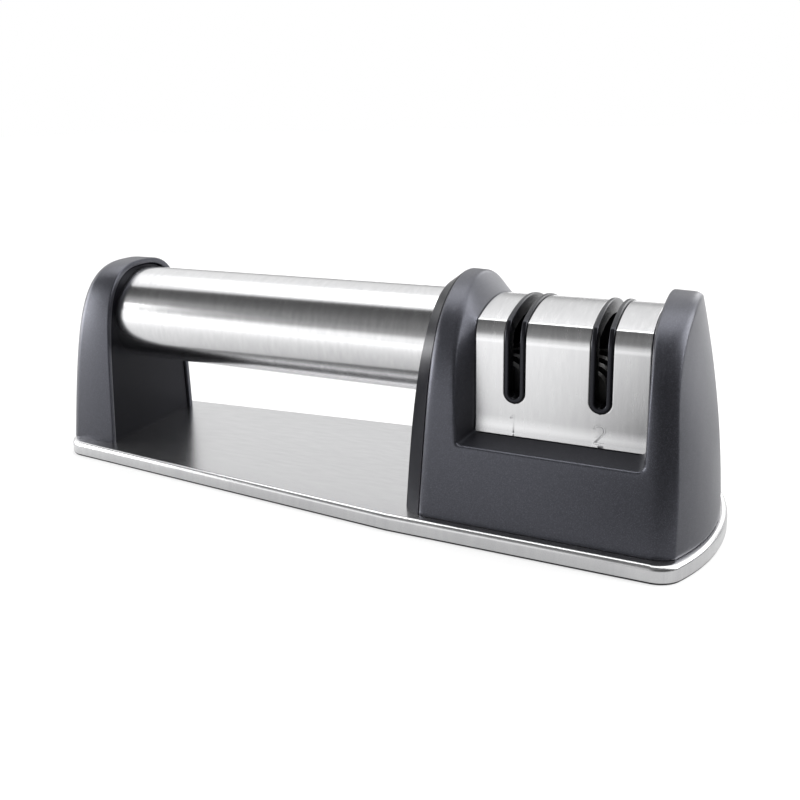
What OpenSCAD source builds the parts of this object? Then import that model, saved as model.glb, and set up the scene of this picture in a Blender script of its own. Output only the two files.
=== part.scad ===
// Pull through knife sharpener with a round steel handle and two stages.
// Millimetres, +Z up. The origin is on the table, under the middle of the base.
// +X runs from the slim post to the sharpening housing, and Y runs across the handle.
// A blade is drawn along Y through a slot, onto the V where two interleaved disc sets cross.

/* [Handle] */
// Outer diameter of the handle tube
tube_d = 30; // [27:0.5:32]
// Wall of the handle tube
tube_wall = 1; // [0.8:0.1:2]
// Height of the handle's axis above the table
handle_h = 43.9; // [43:0.1:50]
// Distance between the post and the housing along the plate
handle_span = 105.5; // [85:0.5:140]
// Depth of the sockets that hold the tube's ends
socket_depth = 5; // [3:0.5:6]

/* [Base plate] */
// Height of the plate's top above the table
base_h = 4.5; // [4.2:0.1:6]
// Thickness of the steel sheet of the plate and of the cover
sheet = 0.8; // [0.5:0.1:1]
// Thickness of the grip pad under the plate
pad_t = 0.6; // [0.4:0.1:0.9]
// Rounding of the plate's top edge
rim_r = 1.3; // [1.1:0.1:1.8]
// Width of the plate beside the housing
base_w = 67; // [66:0.2:76]
// Width of the plate at the slim end's corners
base_tip_w = 49.6; // [49:0.2:58]
// Bow radius of both ends of the plate
base_bow_r = 62; // [55:1:120]
// Corner radius of the plate
base_corner_r = 7.5; // [5:0.5:9]
// Distance that the plate stands out past the post and past the housing
base_margin = 1.7; // [1.5:0.1:3]

/* [Post] */
// Length of the post at its foot, along the handle
post_len = 18.9; // [18:0.1:23]
// Width of the post at its foot
post_w = 42.1; // [41:0.1:44]
// Height of the post's crown above the tube
post_crown = 2.6; // [2.6:0.1:4]
// Depth of the panel behind the post's rim
panel_recess = 0.8; // [0.4:0.1:2]

/* [Housing] */
// Length of the housing at its foot
housing_len = 75.7; // [75:0.1:90]
// Width of the housing at its foot
housing_w = 60.8; // [59:0.2:62]
// Height of the cheek beside the handle
cheek_left_h = 64.5; // [64:0.1:70]
// Height of the cheek at the bowed end
cheek_right_h = 61.8; // [61.5:0.1:68]
// Length of the end cover's sloped rim, along the handle
bevel_len = 4.9; // [4:0.1:6]
// Drop of that slope at the housing's sides
bevel_side = 3.7; // [2.5:0.1:5]
// Drop of that slope at the crown
bevel_top = 4; // [3.5:0.1:4.2]
// Wall of the plastic shells
wall = 1.7; // [1.4:0.1:1.9]

/* [Saddle and cover] */
// Height of the steel cover's crown above the table
cover_h = 57.6; // [56:0.1:59]
// Depth of the steel cover from front to back
cover_depth = 36.4; // [36:0.2:40]
// Radius of the steel cover's crown
crown_r = 40; // [35:1:120]
// Radius of the steel cover's shoulders
shoulder_r = 5; // [4.2:0.1:8]
// Length of the steel cover along the handle
cover_len = 43.2; // [43:0.1:46]
// Distance from the end cover's face to the steel cover
cover_start = 16.4; // [16.2:0.1:20]
// Height of the steel cover's lower edges
cover_foot = 25.3; // [24:0.1:28]
// Fall of the ledge in front of the cover, in degrees
ledge_fall = 3; // [0:1:12]

/* [Slots] */
// Distance from the steel cover's left edge to the first knife slot
slot_start = 10.3; // [9.5:0.1:11]
// Distance between the two knife slots
slot_pitch = 21.5; // [20.5:0.1:22.5]
// Width of the slots in the steel cover
slot_w = 5.6; // [5:0.1:6]
// Width of the gap in a slot liner where the blade passes
blade_gap = 2.7; // [2:0.1:3]
// Height of the lowest point of the slots in the steel cover
slot_foot = 33.9; // [33.5:0.1:36]
// Depth of the slot liners into the housing
liner_depth = 3.4; // [3.1:0.1:3.5]
// Height of the pressed numbers
digit_h = 4.7; // [3.5:0.1:5]

/* [Sharpening discs] */
// Height of the V where the discs cross
edge_h = 39; // [38:0.1:42]
// Angle between a disc's rim and the blade at the V, in degrees
edge_angle = 20; // [16:1:24]
// Thickness of a disc
disc_t = 2.7; // [2:0.1:2.9]
// Distance between neighbouring discs on one pin
disc_pitch = 6.6; // [6.4:0.1:6.8]
// Diameter of the axle pins
pin_d = 2.5; // [2:0.1:3]

/* [Hidden] */
$fn = 48;

// Colours
steel = [0.78, 0.78, 0.80];
charcoal = [0.20, 0.20, 0.22];
black = [0.08, 0.08, 0.09];
rubber = [0.05, 0.05, 0.05];
grit = [0.36, 0.37, 0.40];
ceramic = [0.93, 0.91, 0.86];

// Clearances: a seat between two fixed pieces, a turning fit and a tight fit, each on one side
seat_gap = 0.15;
turn_gap = 0.05;
tight_gap = 0.02;
// A clearance hole or a head's pocket is this much wider on each side than the screw
hole_gap = 0.3;
// A cut runs this far past the face that it opens
cut = 1;

// Places along X: the post's rim, the end cover's face and the ends of the base
base_len = 2 * base_margin + post_len + handle_span + housing_len;
base_end = base_len / 2;
post_x = -base_end + base_margin + post_len;
face_x = post_x + handle_span;
housing_end = face_x + housing_len;
// The plate widens until this place beside the end cover, and is parallel from there
bend_x = face_x - 3;
cover_x = face_x + cover_start;
slot_x = [cover_x + slot_start, cover_x + slot_start + slot_pitch];
slot_mid = (slot_x[0] + slot_x[1]) / 2;

// Heights inside the base
core_top = base_h - sheet;
post_h = handle_h + tube_d / 2 + post_crown;

// Shapes of the arches of the post, the housing and the end cover's face: how much the sides lean
// in for each millimetre of height, how square the shoulders are, and the power of the rounding
post_shape = [0.043, 6.2, 0.365];
housing_shape = [0.09, 6, 0.53];
face_shape = [0.09, 3.7, 0.5];
arch_steps = 20;
// The end faces lean in with height, by these factors of the height and of its square, and are
// bowed with these radii
post_lean = [0.084, 0.001];
housing_lean = [0.035, 0.0017];
post_bow_r = 150;
housing_bow_r = 58;
// Corner radii of the end faces at the foot and at the crown
post_corner = [3, 4];
housing_corner = [5, 1.6];
// The end cover leans by this factor of the height
face_lean = 0.045;

// The walls of the recess slope out from the steel cover, by these factors of the depth at the
// housing's sides and at its crown
recess_slope_left = [0.24, 0.56];
recess_slope_right = [0.12, 0.5];
// How far out of the cover the recess's cutting shape reaches
recess_reach = 13.5;

// Discs: their size follows from the slots' distance, so that the two stages stay clear
stage_gap = 0.8;
disc_r = (slot_pitch - stage_gap) / 2 / (1 + cos(edge_angle));
axle_dx = disc_r * cos(edge_angle);
axle_z = edge_h - disc_r * sin(edge_angle);
sleeve_wall = 1.25;
hub_r = pin_d / 2 + sleeve_wall;
discs_left = 4;
discs_right = 3;
// A sleeve stands out past its last disc by this much, and has this much play along its pin
sleeve_end = 0.3;
side_play = 0.3;
hub_len = (discs_left - 1) * disc_pitch + disc_t + 2 * sleeve_end;

// Wheel frame: its walls, its floor, the space beside the discs and beside the blade, and its
// height above the pins
frame_wall = 2;
frame_floor = 2;
disc_room = 0.8;
blade_room = 0.5;
frame_rise = 4;
frame_in_y = hub_len / 2 + side_play;
frame_out_y = frame_in_y + frame_wall;
frame_len = slot_pitch + 2 * (axle_dx + disc_r + disc_room + frame_wall);
frame_top = axle_z + frame_rise;

// Screws: radius of the shank, radius and height of the head, and how deep the heads sink in
screw_r = 1.7;
head_r = 3;
head_h = 1.3;
head_sink = 0.1;
base_screw_len = 12;
handle_screw_len = 10;
boss_r = 3.6;
boss_h = 14;
post_boss_y = 13;
housing_boss_y = 22;
housing_boss_x = [face_x + 13, housing_end - 15];
frame_boss_x = [slot_x[0] - axle_dx / 2, slot_x[1] + axle_dx / 2];
post_boss_x = post_x - post_len / 2;
screw_places = concat(
    [for (s = [-1, 1]) [post_boss_x, s * post_boss_y]],
    [for (x = housing_boss_x, s = [-1, 1]) [x, s * housing_boss_y]],
    [for (x = frame_boss_x) [x, 0]]
);

// Handle
tube_r = tube_d / 2;
panel_t = 2.2;
// Socket cup: its wall, its floor and how far its mouth stays behind the panel's face
socket_wall = 1.8;
socket_floor = 2;
mouth_back = 1.2;
panel_x = post_x - panel_recess;
tube_x0 = panel_x - socket_depth;
tube_x1 = face_x + face_lean * (handle_h - base_h) + socket_depth;
plug_len = 12;
plug_r = tube_r - tube_wall - seat_gap / 2;

// Half outline of an end that is bowed with radius bow and has rounded corners. The side line is
// at q + m * u from the axis, and the end's apex is at u = apex. Points run from side to axis.
function bowed_half(q, m, apex, bow, corner, steps = 6) =
    let (
        c0 = apex - bow,
        stretch = sqrt(1 + m * m),
        q1 = q - corner * stretch,
        a = 1 + m * m,
        b = 2 * (m * q1 - c0),
        c = c0 * c0 + q1 * q1 - (bow - corner) * (bow - corner),
        u = (-b + sqrt(b * b - 4 * a * c)) / (2 * a),
        v = q1 + m * u,
        side_angle = atan2(1, -m),
        bow_angle = atan2(v, u - c0)
    )
    concat(
        [for (i = [0:steps - 1])
            let (t = side_angle + (bow_angle - side_angle) * i / steps)
            [u + corner * cos(t), v + corner * sin(t)]],
        [for (i = [0:steps])
            let (t = bow_angle * (1 - i / steps))
            [c0 + bow * cos(t), bow * sin(t)]]
    );

function reversed(list) = [for (i = [len(list) - 1:-1:0]) list[i]];

// Outline of the base plate, drawn in by inset all round
function base_outline(inset = 0) =
    let (
        half = base_w / 2,
        m = -(base_w - base_tip_w) / 2 / (bend_x + base_end - base_corner_r),
        stretch = sqrt(1 + m * m),
        q = half + m * bend_x,
        bow = base_bow_r - inset,
        corner = base_corner_r - inset,
        right = bowed_half(half - inset, 0, base_end - inset, bow, corner),
        left = bowed_half(q - inset * stretch, m, base_end - inset, bow, corner),
        bend_u = (half - inset - q + inset * stretch) / m,
        side = concat(
            reversed(right),
            [[-bend_u, half - inset]],
            [for (p = left) [-p[0], p[1]]]
        )
    )
    concat([for (p = side) [p[0], -p[1]]], [for (i = [len(side) - 2:-1:1]) side[i]]);

// Angles of the arch's points, closer together near the foot, where the sides run straight
function arch_angles() =
    let (half = [for (i = [0:arch_steps]) 90 * pow(i / arch_steps, 1.8)])
    concat(half, [for (i = [arch_steps - 1:-1:0]) 180 - half[i]]);

// One point of an arch of width w and height h that stands at height foot, as [y, z]
function arch_point(angle, w, h, foot, shape) =
    let (
        rise = (h - foot) * pow(sin(angle), 2 / shape[1]),
        reach = w / 2 - shape[0] * rise,
        side = cos(angle) > 0 ? -1 : 1
    )
    [side * reach * pow(abs(cos(angle)), 2 * shape[2]), foot + rise];

function arch(w, h, foot, shape) = [for (a = arch_angles()) arch_point(a, w, h, foot, shape)];

// How far an end face lies in from its foot's apex at a point [y, z]
function end_setback(y, z, lean, bow) =
    let (rise = z - base_h)
    lean[0] * rise + lean[1] * rise * rise + bow - sqrt(bow * bow - y * y);

// Rings of the rounded end of an arched body, whose apex at the foot is at x = apex. The corner's
// radius goes from corner[0] at the foot to corner[1] at the crown.
function end_rings(w, h, foot, shape, apex, lean, bow, corner, steps = 4) =
    let (
        angles = arch_angles(),
        last = len(angles) - 1,
        rounding = [for (a = angles) corner[0] + (corner[1] - corner[0]) * pow(sin(a), 2)],
        corner_rings = [for (j = [0:steps])
            let (t = 90 * j / steps)
            [for (i = [0:last])
                let (
                    draw = rounding[i] * (1 - cos(t)),
                    p = arch_point(angles[i], w - 2 * draw, h - draw, foot, shape),
                    in = end_setback(p[0], p[1], lean, bow) + rounding[i] * (1 - sin(t))
                )
                [apex - in, p[0], p[1]]]],
        face_rings = [for (k = [0.75, 0.5, 0.25])
            [for (p = corner_rings[steps])
                let (y = k * p[1], z = foot + k * (p[2] - foot))
                [apex - end_setback(y, z, lean, bow), y, z]]]
    )
    concat(corner_rings, face_rings);

// Solid between rings of equally many points, closed by flat caps at both ends. Seen from the
// last ring, the points of each ring run clockwise.
module loft(rings) {
    n = len(rings[0]);
    last = len(rings) - 1;
    points = [for (ring = rings) each ring];
    sides = [for (j = [0:last - 1], i = [0:n - 1])
        let (a = j * n + i, b = j * n + (i + 1) % n)
        each [[a, b, b + n], [a, b + n, a + n]]];
    first_cap = [for (i = [n - 1:-1:0]) i];
    last_cap = [for (i = [0:n - 1]) last * n + i];
    polyhedron(points, concat([first_cap], sides, [last_cap]), convexity = 10);
}

// Extrudes an outline given in Y and Z along X, from x0 to x1
module extrude_x(x0, x1) {
    translate([x0, 0, 0]) rotate([90, 0, 90]) linear_extrude(x1 - x0) children();
}

// Extrudes an outline given in X and Z along Y, from -half to half
module extrude_y(half) {
    translate([0, half, 0]) rotate([90, 0, 0]) linear_extrude(2 * half) children();
}

// Round bar along X, Y or Z that starts at p
module bar_x(p, r, length) {
    translate(p) rotate([0, 90, 0]) cylinder(r = r, h = length);
}
module bar_y(p, r, length) {
    translate(p) rotate([-90, 0, 0]) cylinder(r = r, h = length);
}
module bar_z(p, r, length) {
    translate(p) cylinder(r = r, h = length);
}

// Pan-head screw that points up, with the underside of its head at z = 0
module screw(length) {
    taper = 0.4;
    tip_r = 0.4;
    cross = 2.6;
    cross_w = 0.8;
    difference() {
        union() {
            translate([0, 0, -head_h]) cylinder(r1 = head_r - taper, r2 = head_r, h = head_h);
            cylinder(r = screw_r, h = length - screw_r);
            translate([0, 0, length - screw_r]) cylinder(r1 = screw_r, r2 = tip_r, h = screw_r);
        }
        for (turn = [0, 90])
            rotate(turn) translate([-cross / 2, -cross_w / 2, -head_h - cut])
                cube([cross, cross_w, head_h / 2 + cut]);
    }
}

// Outline of the steel cover in Y and Z, grown by out, down to the height foot
function saddle_outline(out, foot) =
    let (
        half = cover_depth / 2 + out,
        top = bowed_half(half, 0, cover_h + out, crown_r + out, shoulder_r + out),
        side = concat([[foot, half]], top)
    )
    concat(
        [for (p = side) [p[1], p[0]]],
        [for (i = [len(side) - 2:-1:0]) [-side[i][1], side[i][0]]]
    );

// Shape of the recess between the cheeks, outside a saddle that lies in by depth_in. Its walls
// are upright beside the steel cover and slope apart above it. Grown by grow, it also gives the
// inner side of the recess's walls.
module recess(depth_in, grow) {
    function foot(out) = cover_foot - seat_gap - out * tan(ledge_fall) - grow;
    function slope(ends, upward) = ends[0] + (ends[1] - ends[0]) * upward;
    x0 = cover_x - seat_gap - grow;
    x1 = cover_x + cover_len + seat_gap + grow;
    inner = saddle_outline(-depth_in, foot(-depth_in));
    middle = saddle_outline(0, foot(0));
    outer = saddle_outline(recess_reach, foot(recess_reach));
    loft([for (i = [0:len(inner) - 1])
        let (
            p = inner[i],
            m = middle[i],
            q = outer[i],
            upward = max(0, (q[1] - m[1]) / norm(q - m)),
            left = slope(recess_slope_left, upward) * recess_reach,
            right = slope(recess_slope_right, upward) * recess_reach
        )
        [
            [x1, p[0], p[1]],
            [x0, p[0], p[1]],
            [x0, m[0], m[1]],
            [x0 - left, q[0], q[1]],
            [x1 + right, q[0], q[1]],
            [x1, m[0], m[1]]
        ]]);
}

// Knife slot of width w and lowest point foot, cut along Y
module knife_slot(x, w, foot, half) {
    extrude_y(half) {
        translate([x, foot + w / 2]) circle(d = w);
        translate([x - w / 2, foot + w / 2]) square([w, cheek_left_h]);
    }
}

// Steel plate with a rounded top edge and a turned-down rim, open below
module base_tray() {
    function ring(inset, z) = [for (p = base_outline(inset)) [p[0], p[1], z]];
    function rounded(inset, r, top) = [for (t = [0:22.5:90])
        ring(inset + r * (1 - cos(t)), top - r * (1 - sin(t)))];
    inner_r = rim_r - sheet;
    color(steel) difference() {
        loft(concat([ring(0, pad_t)], rounded(0, rim_r, base_h)));
        loft(concat([ring(sheet, pad_t - cut)], rounded(sheet, inner_r, core_top)));
        for (p = screw_places) bar_z([p[0], p[1], core_top - cut], screw_r + hole_gap, sheet + 2 * cut);
    }
}

// Plastic plate inside the tray, with pockets for the screw heads
module base_core() {
    inset = rim_r + seat_gap;
    color(black) difference() {
        translate([0, 0, pad_t]) linear_extrude(core_top - pad_t) polygon(base_outline(inset));
        for (p = screw_places) {
            bar_z([p[0], p[1], pad_t - cut], head_r + hole_gap, head_sink + head_h + cut);
            bar_z([p[0], p[1], pad_t], screw_r + hole_gap, base_h);
        }
    }
}

// Non-slip pad that the sharpener stands on
module grip_pad() {
    edge = 0.5;
    color(rubber) linear_extrude(pad_t) polygon(base_outline(edge));
}

module base_screws() {
    color(steel) for (p = screw_places)
        translate([p[0], p[1], pad_t + head_sink + head_h]) screw(base_screw_len);
}

// Screw boss that stands on the plate, with a rib of the length rib towards the angle turn
module boss(x, y, rib, turn) {
    rib_t = 1.6;
    bar_z([x, y, base_h], boss_r, boss_h);
    translate([x, y, base_h]) rotate(turn) translate([0, -rib_t / 2, 0]) cube([rib, rib_t, boss_h]);
}

// Solid form of the post, drawn in by inset, with its open side running past the rim by past
module post_form(inset, past) {
    w = post_w - 2 * inset;
    foot = base_h - past;
    rim = arch(w, post_h - inset, foot, post_shape);
    mirror([1, 0, 0]) loft(concat(
        [[for (p = rim) [-post_x - past, p[0], p[1]]]],
        end_rings(w, post_h - inset, foot, post_shape, -post_x + post_len - inset, post_lean,
            post_bow_r, post_corner)
    ));
}

module post_shell() {
    post_rib_back = 0.3;
    color(charcoal) difference() {
        union() {
            difference() {
                post_form(0, 0);
                post_form(wall, cut);
            }
            for (s = [-1, 1])
                boss(post_boss_x, s * post_boss_y, post_len / 2 - wall - post_rib_back, 180);
        }
        for (s = [-1, 1])
            bar_z([post_boss_x, s * post_boss_y, base_h - cut], screw_r + turn_gap, boss_h);
    }
}

// Socket for one end of the tube: a cup that is open towards +X, with its floor at x = 0
module socket_cup() {
    bar_x([-socket_floor, 0, handle_h], tube_r + socket_wall, socket_floor + socket_depth - mouth_back);
}
module socket_bore() {
    bar_x([0, 0, handle_h], tube_r + turn_gap, socket_depth + cut);
    bar_x([-socket_floor - cut, 0, handle_h], screw_r + hole_gap, socket_floor + 2 * cut);
}

// Panel inside the post's rim, with the socket for the tube. Both follow the shell's inner form.
module post_panel() {
    color(black) difference() {
        intersection() {
            post_form(wall + 2 * seat_gap, 0);
            union() {
                translate([panel_x - panel_t, -post_w / 2, 0]) cube([panel_t, post_w, post_h]);
                translate([tube_x0, 0, 0]) socket_cup();
            }
        }
        translate([tube_x0, 0, 0]) socket_bore();
    }
}

module handle_tube() {
    color(steel) difference() {
        bar_x([tube_x0, 0, handle_h], tube_r, tube_x1 - tube_x0);
        bar_x([tube_x0 - cut, 0, handle_h], tube_r - tube_wall, tube_x1 - tube_x0 + 2 * cut);
    }
}

// Plug in the tube's end that lies at x = 0, reaching towards +X
module handle_plug() {
    rim_t = 1.8;
    floor_t = 3;
    difference() {
        union() {
            difference() {
                bar_x([0, 0, handle_h], plug_r, plug_len);
                bar_x([floor_t, 0, handle_h], plug_r - rim_t, plug_len);
            }
            bar_x([0, 0, handle_h], boss_r, plug_len);
        }
        bar_x([-cut, 0, handle_h], screw_r + turn_gap, plug_len + 2 * cut);
    }
}

module handle_plug_left() {
    color(black) translate([tube_x0, 0, 0]) handle_plug();
}

module handle_plug_right() {
    color(black) translate([tube_x1, 0, 0]) mirror([1, 0, 0]) handle_plug();
}

module handle_screws() {
    color(steel) {
        translate([tube_x0 - socket_floor, 0, handle_h]) rotate([0, 90, 0]) screw(handle_screw_len);
        translate([tube_x1 + socket_floor, 0, handle_h]) rotate([0, -90, 0]) screw(handle_screw_len);
    }
}

// Ring of the housing's arch on the leaning plane where the shell meets the end cover, drawn in
// by inset and moved by shift along X
function rim_ring(inset, foot, shift) =
    [for (p = arch(housing_w - 2 * inset, cheek_left_h - inset, foot, housing_shape))
        [face_x + bevel_len + face_lean * (p[1] - base_h) + shift, p[0], p[1]]];

// Solid form of the housing behind the end cover, drawn in by inset
module housing_form(inset, past) {
    w = housing_w - 2 * inset;
    foot = base_h - past;
    loft(concat(
        [rim_ring(inset, foot, -past)],
        end_rings(w, cheek_right_h - inset, foot, housing_shape, housing_end - inset, housing_lean,
            housing_bow_r, housing_corner)
    ));
}

module housing_shell() {
    seat = sheet + seat_gap;
    color(charcoal) difference() {
        union() {
            difference() {
                housing_form(0, 0);
                recess(seat, 0);
                difference() {
                    housing_form(wall, cut);
                    recess(seat + wall, wall);
                }
            }
            for (x = housing_boss_x, s = [-1, 1])
                boss(x, s * housing_boss_y, housing_w / 2 - wall - housing_boss_y, s * 90);
        }
        for (x = slot_x) knife_slot(x, slot_w, slot_foot, base_w / 2);
        for (x = housing_boss_x, s = [-1, 1])
            bar_z([x, s * housing_boss_y, base_h - cut], screw_r + turn_gap, boss_h);
    }
}

// End cover with a sloped rim, a lip inside the shell and the socket for the tube
module housing_panel() {
    lip_gap = wall + 2 * seat_gap;
    lip_len = 3;
    function face_ring(side, top, foot, back) =
        [for (p = arch(housing_w - 2 * side, cheek_left_h - top, foot, face_shape))
            [face_x + face_lean * (p[1] - base_h) + back, p[0], p[1]]];
    front = face_ring(bevel_side, bevel_top, base_h, 0);
    pocket_front = face_ring(bevel_side + wall, bevel_top + wall, base_h - cut, panel_t);
    color(black) difference() {
        union() {
            difference() {
                union() {
                    loft([front, rim_ring(0, base_h, 0)]);
                    loft([rim_ring(lip_gap, base_h, -cut), rim_ring(lip_gap, base_h, lip_len)]);
                }
                loft([pocket_front, rim_ring(lip_gap + wall, base_h - cut, lip_len + cut)]);
            }
            translate([tube_x1, 0, 0]) mirror([1, 0, 0]) socket_cup();
        }
        translate([tube_x1, 0, 0]) mirror([1, 0, 0]) socket_bore();
    }
}

// Plain figures 1 and 2, drawn as strokes, standing on y = 0 with their middle at x = 0
module digit_one(h, line) {
    flag_len = 0.25 * h;
    flag_angle = -140;
    translate([-line / 2, 0]) square([line, h]);
    translate([0, h]) rotate(flag_angle) square([flag_len, line]);
}
module digit_two(h, line) {
    bowl_r = 0.27 * h;
    bowl_y = h - bowl_r;
    neck_y = bowl_y - 0.8 * bowl_r;
    intersection() {
        translate([0, bowl_y]) difference() {
            circle(r = bowl_r);
            circle(r = bowl_r - line);
        }
        union() {
            translate([-bowl_r, bowl_y]) square([2 * bowl_r, bowl_r]);
            translate([0, neck_y]) square([bowl_r, h]);
        }
    }
    polygon([
        [-bowl_r, 0], [line - bowl_r, 0],
        [bowl_r, bowl_y - line], [bowl_r - line, bowl_y], [-bowl_r, line]
    ]);
    translate([-bowl_r, 0]) square([2 * bowl_r, line]);
}

module steel_cover() {
    press_depth = 0.2;
    line = 0.45;
    digit_foot = cover_foot + 0.8;
    front = -cover_depth / 2;
    color(steel) difference() {
        extrude_x(cover_x, cover_x + cover_len) difference() {
            polygon(saddle_outline(0, cover_foot));
            polygon(saddle_outline(-sheet, cover_foot - cut));
        }
        for (x = slot_x) knife_slot(x, slot_w, slot_foot, base_w / 2);
        translate([slot_x[0], front + press_depth, digit_foot])
            rotate([90, 0, 0]) linear_extrude(cut) digit_one(digit_h, line);
        translate([slot_x[1], front + press_depth, digit_foot])
            rotate([90, 0, 0]) linear_extrude(cut) digit_two(digit_h, line);
    }
}

// Liner of one slot: a band that follows the cover and stands a little proud of it
module slot_liner(x) {
    proud = 0.5;
    liner_w = slot_w - 2 * seat_gap;
    liner_foot = slot_foot + seat_gap;
    rim_w = (liner_w - blade_gap) / 2;
    color(black) difference() {
        intersection() {
            knife_slot(x, liner_w, liner_foot, base_w / 2);
            extrude_x(x - slot_w, x + slot_w) difference() {
                polygon(saddle_outline(proud, cover_foot));
                polygon(saddle_outline(-liner_depth, cover_foot - cut));
            }
        }
        knife_slot(x, blade_gap, liner_foot + rim_w, base_w / 2);
    }
}

module slot_liner_1() {
    slot_liner(slot_x[0]);
}

module slot_liner_2() {
    slot_liner(slot_x[1]);
}

// Places of the four axle pins along X, as [stage][side]
function axle_x(stage, side) = slot_x[stage] + (side == 0 ? -axle_dx : axle_dx);

// Open box that stands on the plate and carries the axle pins between its long walls
module wheel_frame() {
    x0 = slot_mid - frame_len / 2;
    notch = blade_gap + 2 * blade_room;
    frame_h = frame_top - base_h;
    color(black) difference() {
        union() {
            difference() {
                translate([x0, -frame_out_y, base_h]) cube([frame_len, 2 * frame_out_y, frame_h]);
                translate([x0 + frame_wall, -frame_in_y, base_h + frame_floor])
                    cube([frame_len - 2 * frame_wall, 2 * frame_in_y, frame_h]);
            }
            for (x = frame_boss_x) bar_z([x, 0, base_h], boss_r, boss_h);
        }
        for (x = slot_x) knife_slot(x, notch, slot_foot, base_w / 2);
        for (stage = [0, 1], side = [0, 1])
            bar_y([axle_x(stage, side), -frame_out_y - cut, axle_z], pin_d / 2 + tight_gap,
                2 * frame_out_y + 2 * cut);
        for (x = frame_boss_x) bar_z([x, 0, base_h - cut], screw_r + turn_gap, boss_h);
    }
}

module axle_pins() {
    color(steel) for (stage = [0, 1], side = [0, 1])
        bar_y([axle_x(stage, side), -frame_out_y, axle_z], pin_d / 2, 2 * frame_out_y);
}

// Sleeve that turns on an axle pin
module hub(stage, side) {
    x = axle_x(stage, side);
    color(charcoal) difference() {
        bar_y([x, -hub_len / 2, axle_z], hub_r, hub_len);
        bar_y([x, -hub_len / 2 - cut, axle_z], pin_d / 2 + turn_gap, hub_len + 2 * cut);
    }
}

// Discs on one sleeve. The two sets of a stage stand half a pitch apart, so that they interleave.
module discs(stage, side) {
    x = axle_x(stage, side);
    count = side == 0 ? discs_left : discs_right;
    first = -(count - 1) * disc_pitch / 2;
    color(stage == 0 ? grit : ceramic) for (i = [0:count - 1])
        translate([0, first + i * disc_pitch - disc_t / 2, 0]) difference() {
            bar_y([x, 0, axle_z], disc_r, disc_t);
            bar_y([x, -cut, axle_z], hub_r + tight_gap, disc_t + 2 * cut);
        }
}

module hub_1_left() {
    hub(0, 0);
}
module discs_1_left() {
    discs(0, 0);
}
module hub_1_right() {
    hub(0, 1);
}
module discs_1_right() {
    discs(0, 1);
}
module hub_2_left() {
    hub(1, 0);
}
module discs_2_left() {
    discs(1, 0);
}
module hub_2_right() {
    hub(1, 1);
}
module discs_2_right() {
    discs(1, 1);
}

base_tray();
base_core();
grip_pad();
base_screws();
post_shell();
post_panel();
handle_tube();
handle_plug_left();
handle_plug_right();
handle_screws();
housing_shell();
housing_panel();
steel_cover();
slot_liner_1();
slot_liner_2();
wheel_frame();
axle_pins();
hub_1_left();
discs_1_left();
hub_1_right();
discs_1_right();
hub_2_left();
discs_2_left();
hub_2_right();
discs_2_right();
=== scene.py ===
"""Looks of the pull through knife sharpener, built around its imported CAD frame.

Sizes are in millimetres, as in the part's source, and MM turns them into the frame's metres.
"""

import math

import bmesh
import bpy
import numpy as np
import openvdb
from mathutils import Matrix


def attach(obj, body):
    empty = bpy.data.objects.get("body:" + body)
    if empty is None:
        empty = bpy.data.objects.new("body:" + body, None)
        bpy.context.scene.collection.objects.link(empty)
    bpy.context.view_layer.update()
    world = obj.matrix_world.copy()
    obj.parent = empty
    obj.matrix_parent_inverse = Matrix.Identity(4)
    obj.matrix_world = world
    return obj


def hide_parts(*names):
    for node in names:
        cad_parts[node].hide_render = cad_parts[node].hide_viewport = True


MM = 0.001

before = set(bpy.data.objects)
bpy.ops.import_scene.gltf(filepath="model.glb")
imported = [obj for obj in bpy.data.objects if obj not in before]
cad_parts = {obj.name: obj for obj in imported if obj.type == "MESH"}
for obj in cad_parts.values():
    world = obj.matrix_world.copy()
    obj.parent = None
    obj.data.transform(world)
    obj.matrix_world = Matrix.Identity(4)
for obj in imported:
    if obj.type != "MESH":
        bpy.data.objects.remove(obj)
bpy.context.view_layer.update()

# Sizes of the part, from its source
TUBE_R = 15.0
TUBE_WALL = 1.0
HANDLE_H = 43.9
SOCKET_DEPTH = 5.0
BASE_H = 4.5
SHEET = 0.8
PAD_T = 0.6
RIM_R = 1.3
BASE_W = 67.0
BASE_TIP_W = 49.6
BASE_BOW_R = 62.0
BASE_CORNER_R = 7.5
BASE_END = 101.75
BASE_BEND_X = 21.35
POST_X = -81.15
POST_LEN = 18.9
POST_W = 42.1
POST_H = 61.5
POST_BOW_R = 150.0
PANEL_RECESS = 0.8
PANEL_T = 2.2
FACE_X = 24.35
HOUSING_END = 100.05
HOUSING_W = 60.8
HOUSING_BOW_R = 58.0
CHEEK_LEFT_H = 64.5
CHEEK_RIGHT_H = 61.8
BEVEL_LEN = 4.9
BEVEL_SIDE = 3.7
BEVEL_TOP = 4.0
WALL = 1.7
SEAT_GAP = 0.15
COVER_X = 40.75
COVER_LEN = 43.2
COVER_DEPTH = 36.4
COVER_FOOT = 25.3
LEDGE_FALL = math.radians(3)
SLOT_X = (51.05, 72.55)
SLOT_W = 5.6
SLOT_FOOT = 33.9
BLADE_GAP = 2.7
LINER_DEPTH = 3.4
LINER_PROUD = 0.5
DIGIT_H = 4.7
# Arches: how much the sides lean in by height, how square the shoulders are, power of the rounding
POST_SHAPE = (0.043, 6.2, 0.365)
HOUSING_SHAPE = (0.09, 6.0, 0.53)
FACE_SHAPE = (0.09, 3.7, 0.5)
# How the end faces lean in: by these factors of the height and of its square
POST_LEAN = (0.084, 0.001)
HOUSING_LEAN = (0.035, 0.0017)
FACE_LEAN = 0.045
# Corner radii of the end faces, at the foot and on top
POST_CORNER = (3.0, 4.0)

# Form that is finer here than in the solids
HOUSING_CORNER = (6.0, 2.0)
# Corner's crease: the turn in degrees at which it starts, and its radius
POST_CREASE = (90, 0)
HOUSING_CREASE = (46, 0.7)
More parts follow.
